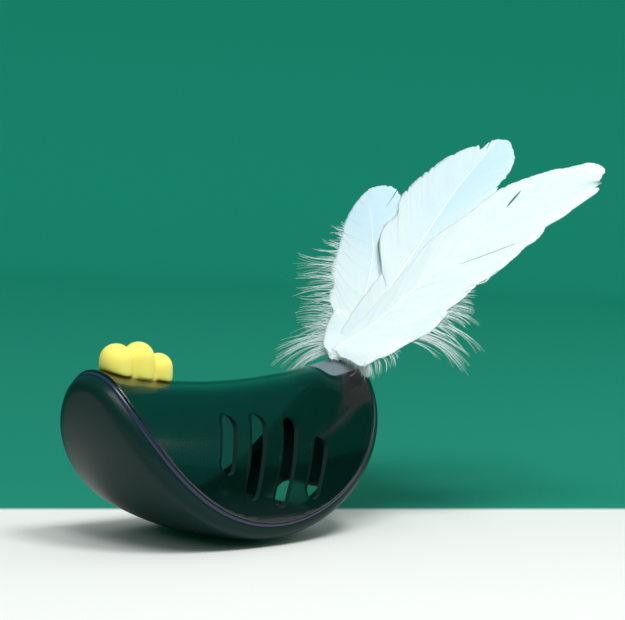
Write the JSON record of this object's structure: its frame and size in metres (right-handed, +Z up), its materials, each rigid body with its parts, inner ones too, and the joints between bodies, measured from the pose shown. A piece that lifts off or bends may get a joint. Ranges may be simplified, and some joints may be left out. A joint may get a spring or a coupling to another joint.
{
  "type": "treat dispensing cat toy",
  "caption": "Self-righting rocker cat toy: weighted dark base, smoke-clear slotted treat cover, soft yellow crest stopper and a pull-out bundle of white feathers.",
  "frame": {"origin": "the lowest point of the rocker's tread, where the toy touches the floor at rest", "axes": "+X towards the feather end along the toy's length, +Y across the body, +Z up"},
  "size_m": [0.212, 0.1207, 0.1545],
  "materials": {
    "base": "satin, moulded",
    "cover": "clear smoke tint, polished",
    "crest": "soft matte",
    "seat": "satin",
    "weight": "as cast",
    "tray": "moulded",
    "screw": "plated",
    "ferrule": "moulded",
    "feather": "soft natural feather",
    "down": "loose natural down"
  },
  "bodies": {
    "rocker": {"base_shell": "base", "smoke_cover": "cover", "feather_seat": "seat", "ballast": "weight", "ballast_tray": "tray", "tray_screws": "screw"},
    "crest": {"crest_plug": "crest"},
    "feathers": {"feather_ferrule": "ferrule", "feather_long": "feather", "feather_middle": "feather", "feather_short": "feather", "down_left": "down", "down_right": "down", "down_front": "down"}
  },
  "joints": [
    {"name": "crest_pull", "type": "slide", "parent": "rocker", "child": "crest", "axis": [0, 0, 1], "range_m": [0, 0.03]},
    {"name": "feather_pull", "type": "slide", "parent": "rocker", "child": "feathers", "axis": [0.6947, 0, 0.7193], "range_m": [0, 0.02]}
  ]
}
